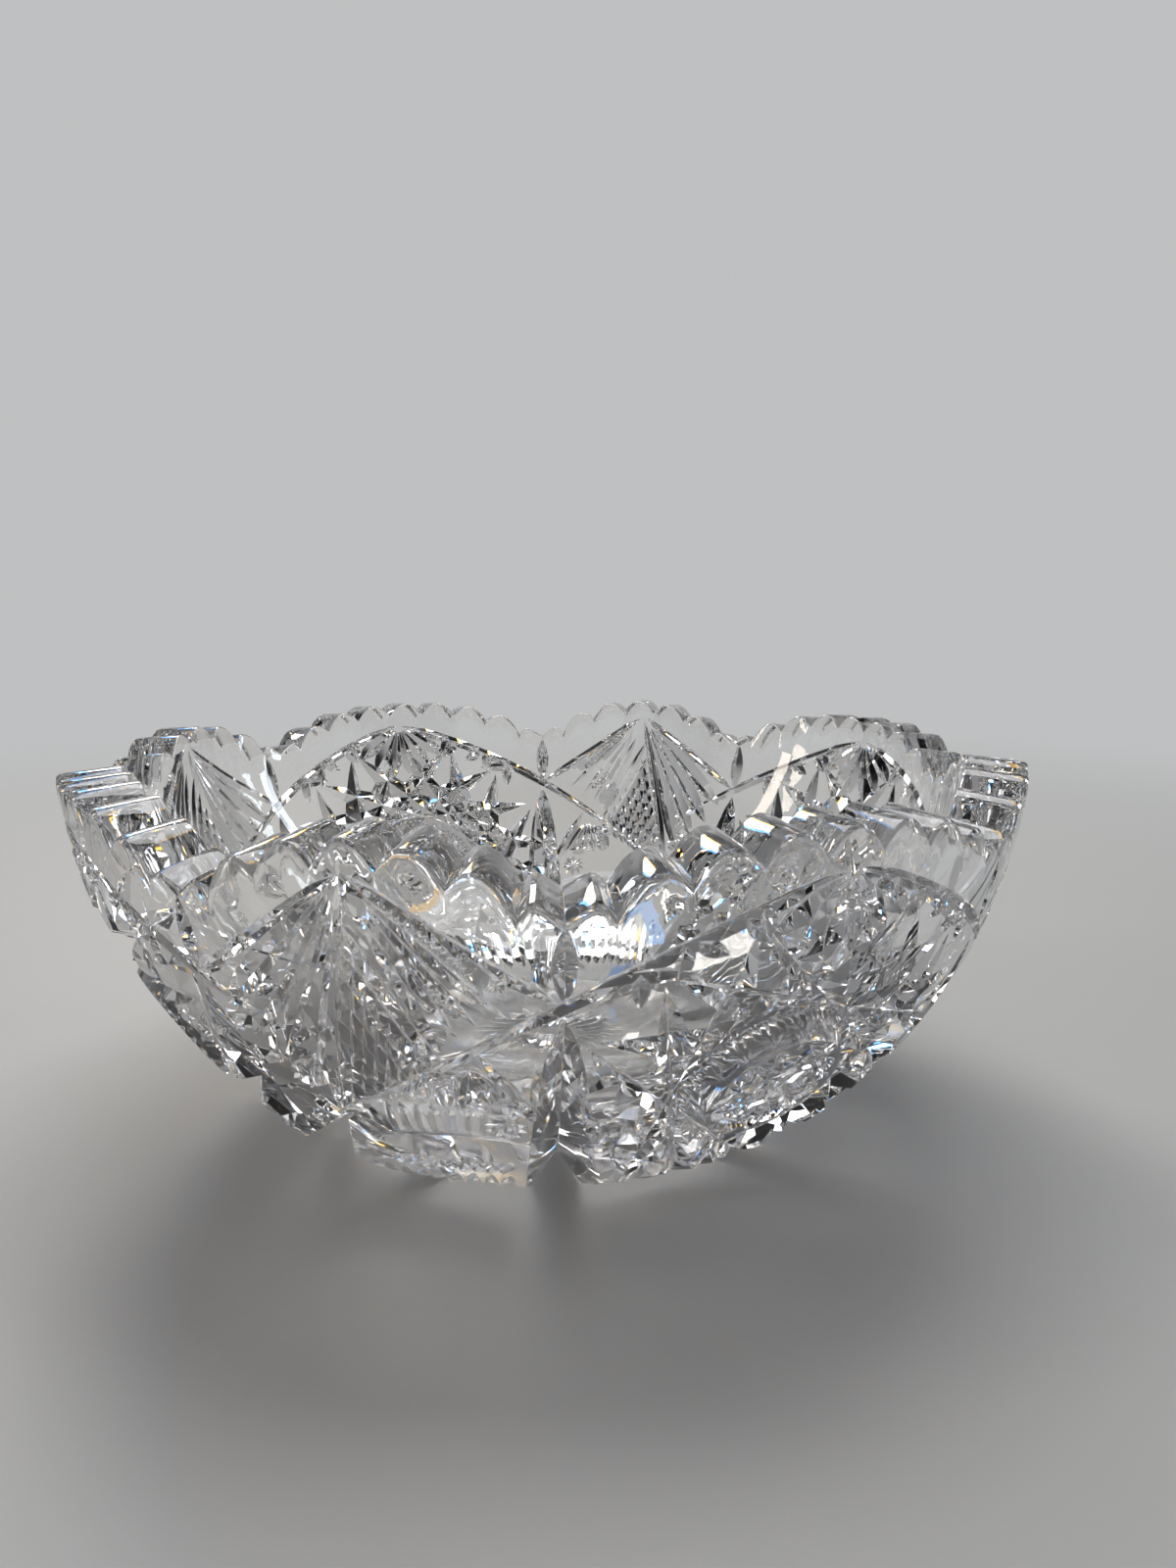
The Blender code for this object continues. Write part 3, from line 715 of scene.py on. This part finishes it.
def mark_cuts(mesh):
    """A face attribute that is 1 under the blank's skin, but not on the inside or on the flat of the foot.
    The crystal paints shade on the faces where it is 1.
    """
    middles, normals = np.zeros((len(mesh.polygons), 3)), np.zeros((len(mesh.polygons), 3))
    mesh.polygons.foreach_get("center", middles.ravel())
    mesh.polygons.foreach_get("normal", normals.ravel())
    outward = middles - BALL_CENTRE
    distance = np.linalg.norm(outward, axis=1)
    facing = (outward * normals).sum(1) / distance
    depth = skin_reach(np.arcsin(-outward[:, 2] / distance)) - distance
    cut = (depth > FADE) & (facing > LOOKS_IN) & (middles[:, 2] > FADE)
    mesh.attributes.new("cut", "FLOAT", "FACE").data.foreach_set("value", cut.astype(np.float32))


def cut_bowl():
    """The blank with every wheel's path taken away from it."""
    bowl = bpy.data.objects.new("cut_bowl", blank())
    bpy.context.scene.collection.objects.link(bowl)
    wheels = bpy.data.collections.new("wheels")
    bpy.context.scene.collection.children.link(wheels)
    cut_arches(wheels)
    cut_dips(wheels)
    cut_wide_panel(wheels)
    cut_narrow_panel(wheels)
    cut_foot(wheels)
    modifier = bowl.modifiers.new("cuts", "BOOLEAN")
    modifier.operation = "DIFFERENCE"
    modifier.operand_type = "COLLECTION"
    modifier.collection = wheels
    modifier.solver = "MANIFOLD"
    bpy.context.view_layer.update()
    cut = bpy.data.meshes.new_from_object(bowl.evaluated_get(bpy.context.evaluated_depsgraph_get()))
    bowl.modifiers.clear()
    bowl.data = cut
    for wheel in list(wheels.objects):
        bpy.data.objects.remove(wheel)
    bpy.data.collections.remove(wheels)
    cut.shade_smooth()
    cut.set_sharp_from_angle(angle=math.radians(SHARP_EDGE))
    mark_cuts(cut)
    return bowl


class Wire:
    """One socket among a shader's nodes. Sums, differences and products with wires add Math nodes."""

    def __init__(self, tree, socket=None):
        self.tree = tree
        self.socket = socket

    def node(self, kind, settings, values, output=0):
        """A new node with its settings and its inputs' values or links, as a wire from one of its outputs."""
        made = self.tree.nodes.new(kind)
        for key, value in settings.items():
            setattr(made, key, value)
        for key, value in values.items():
            if isinstance(value, Wire):
                self.tree.links.new(value.socket, made.inputs[key])
            else:
                made.inputs[key].default_value = value
        return Wire(self.tree, made.outputs[output])

    def also(self, output):
        """Another output of the node that this wire comes from."""
        return Wire(self.tree, self.socket.node.outputs[output])

    def math(self, operation, one, two):
        return self.node("ShaderNodeMath", {"operation": operation}, {0: one, 1: two})

    def __add__(self, other):
        return self.math("ADD", self, other)

    def __rsub__(self, other):
        return self.math("SUBTRACT", other, self)

    def __mul__(self, other):
        return self.math("MULTIPLY", self, other)

    __rmul__ = __mul__

    def smooth(self, low, high, start=0.0, end=1.0):
        """A smooth step from one value to another while this wire goes from low to high."""
        settings = {"interpolation_type": "SMOOTHSTEP"}
        values = {"Value": self, "From Min": low, "From Max": high, "To Min": start, "To Max": end}
        return self.node("ShaderNodeMapRange", settings, values)


def shader_tree(owner):
    """An owner's emptied node tree, as a first wire, and its output node."""
    owner.use_nodes = True
    tree = owner.node_tree
    tree.nodes.clear()
    kind = "ShaderNodeOutputWorld" if isinstance(owner, bpy.types.World) else "ShaderNodeOutputMaterial"
    return Wire(tree), tree.nodes.new(kind)


def crystal():
    """Clear lead crystal: painted shade on the flanks of the cuts, softened edges, a polish that waves a
    little, a worn foot.
    """
    material = bpy.data.materials.new("crystal")
    start, output = shader_tree(material)
    where = start.node("ShaderNodeTexCoord", {}, {}, "Object")
    wave = start.node("ShaderNodeTexNoise", {}, {"Vector": where, "Scale": WAVE_SCALE, "Detail": 2.0})
    height = start.node("ShaderNodeSeparateXYZ", {}, {"Vector": where}, "Z")
    worn = height.smooth(0.0, SCUFF_REACH, 1.0, 0.0)
    scuff = start.node("ShaderNodeTexNoise", {}, {"Vector": where, "Scale": SCUFF_SCALE, "Detail": 3.0})
    roughness = worn * scuff * SCUFF_ROUGHNESS
    soft = start.node("ShaderNodeBevel", {}, {"Radius": EDGE_SOFTNESS})
    polish = start.node("ShaderNodeBump", {}, {"Distance": WAVE_HEIGHT, "Height": wave, "Normal": soft})
    # Faces marked as cuts take the grey: painted shade on the flanks, not a colour of the glass.
    cut = start.node("ShaderNodeAttribute", {"attribute_name": "cut"}, {}, "Fac")
    tone_with_painted_shade = start.node("ShaderNodeMix", {"data_type": "RGBA"}, {0: cut, 6: CLEAR_GLASS, 7: CUT_FLANK_PAINTED_SHADE}, 2)
    values = {
        "Base Color": tone_with_painted_shade,
        "Roughness": roughness,
        "IOR": REFRACTION,
        "Transmission Weight": 1.0,
        "Normal": polish,
    }
    glass = start.node("ShaderNodeBsdfPrincipled", {}, values)
    material.node_tree.links.new(glass.socket, output.inputs["Surface"])
    return material


def floor():
    """A square of floor that fades into the backdrop's colour with the distance from the bowl."""
    points = np.array([[-1, -1, 0], [1, -1, 0], [1, 1, 0], [-1, 1, 0]]) * FLOOR_REACH
    points[:, 2] = -FLOOR_GAP
    obj = bpy.data.objects.new("floor", new_mesh("floor", points, [[0, 1, 2, 3]]))
    bpy.context.scene.collection.objects.link(obj)
    material = bpy.data.materials.new("floor")
    start, output = shader_tree(material)
    where = start.node("ShaderNodeTexCoord", {}, {}, "Object")
    distance = start.node("ShaderNodeVectorMath", {"operation": "LENGTH"}, {0: where}, "Value")
    far = distance.smooth(*FLOOR_FADES)
    board = start.node("ShaderNodeBsdfPrincipled", {}, {"Base Color": PALE, "Roughness": FLOOR_ROUGHNESS})
    clear = start.node("ShaderNodeBsdfTransparent", {}, {})
    mixed = start.node("ShaderNodeMixShader", {}, {0: far, 1: board, 2: clear})
    material.node_tree.links.new(mixed.socket, output.inputs["Surface"])
    obj.data.materials.append(material)


def lamp(name, spot, aim, size, power, colour, aside=0.0):
    """A lit rectangle that looks at an aim, moved aside in its own plane."""
    light = bpy.data.lights.new(name, "AREA")
    light.shape = "RECTANGLE"
    light.size, light.size_y = size
    light.energy = power
    light.color = colour
    obj = bpy.data.objects.new(name, light)
    bpy.context.scene.collection.objects.link(obj)
    turn = (Vector(aim) - Vector(spot)).to_track_quat("-Z", "Y")
    obj.location = Vector(spot) + turn @ Vector((aside, 0, 0))
    obj.rotation_euler = turn.to_euler()
    return obj


def fringes(name, spot, aim, size, power):
    """An amber and a blue strip at a lamp's sides, for the crystal's fire. They give no diffuse light."""
    strip_power = power * FRINGE_POWER * FRINGE / size[0]
    for side, tint in zip((-1, 1), FRINGE_COLOURS):
        aside = side * (size[0] + FRINGE) / 2
        strip = lamp(f"{name}_fringe_{side}", spot, aim, (FRINGE, size[1]), strip_power, tint, aside)
        strip.visible_diffuse = False


def camera():
    """The photograph's place: a distance from the axis and a height, turned right and tilted down."""
    data = bpy.data.cameras.new("camera")
    data.lens = LENS
    data.sensor_width = SENSOR
    data.clip_start = NEAREST
    obj = bpy.data.objects.new("camera", data)
    bpy.context.scene.collection.objects.link(obj)
    front = math.radians(CAMERA_BEARING)
    obj.location = (-CAMERA_DISTANCE * math.sin(front), -CAMERA_DISTANCE * math.cos(front), CAMERA_HEIGHT)
    obj.rotation_euler = (math.pi / 2 - CAMERA_TILT, 0, -(CAMERA_TURN + front))
    bpy.context.scene.camera = obj


def studio():
    """What is seen is a pale backdrop, up to a dark ceiling; what is lit has a plain even light.

    Dark flags stand where the cosine of their number times the bearing is low. The camera doesn't see them,
    only the glass and reflections do, and they draw the edges of the cuts.
    """
    scene = bpy.context.scene
    scene.world = bpy.data.worlds.new("studio")
    start, output = shader_tree(scene.world)
    way = start.node("ShaderNodeTexCoord", {}, {}, "Generated")
    across = start.node("ShaderNodeSeparateXYZ", {}, {"Vector": way}, "X")
    bearing = start.math("ARCTAN2", across.also("Y"), across)
    flag = start.math("COSINE", FLAGS * bearing, 0.0).smooth(*FLAG_BEGINS)
    camera_ray = start.node("ShaderNodeLightPath", {}, {}, "Is Camera Ray")
    glass_ray = camera_ray.also("Is Glossy Ray") + camera_ray.also("Is Transmission Ray")
    looked_at = start.math("MINIMUM", camera_ray + glass_ray, 1.0)
    dark = start.math("MAXIMUM", across.also("Z").smooth(*CEILING_BEGINS), flag * (1.0 - camera_ray))
    seen = start.node("ShaderNodeMix", {"data_type": "RGBA"}, {0: dark, 6: BACKDROP, 7: CEILING}, 2)
    backdrop = start.node("ShaderNodeBackground", {}, {"Color": seen, "Strength": 1.0})
    even = start.node("ShaderNodeBackground", {}, {"Color": (1.0, 1.0, 1.0, 1.0), "Strength": EVEN_LIGHT})
    mixed = start.node("ShaderNodeMixShader", {}, {0: looked_at, 1: even, 2: backdrop})
    scene.world.node_tree.links.new(mixed.socket, output.inputs["Surface"])
    scene.view_settings.view_transform = "Standard"
    scene.cycles.max_bounces = BOUNCES
    scene.cycles.transmission_bounces = BOUNCES
    scene.cycles.glossy_bounces = GLOSSY_BOUNCES


bowl = cut_bowl()
bowl.data.materials.clear()
bowl.data.materials.append(crystal())
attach(bowl, "root")
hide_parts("bowl")
floor()
camera()
for lamp_values in LAMPS + SIDE_LAMPS:
    lamp(*lamp_values)
for lamp_values in LAMPS:
    fringes(*lamp_values[:-1])
studio()
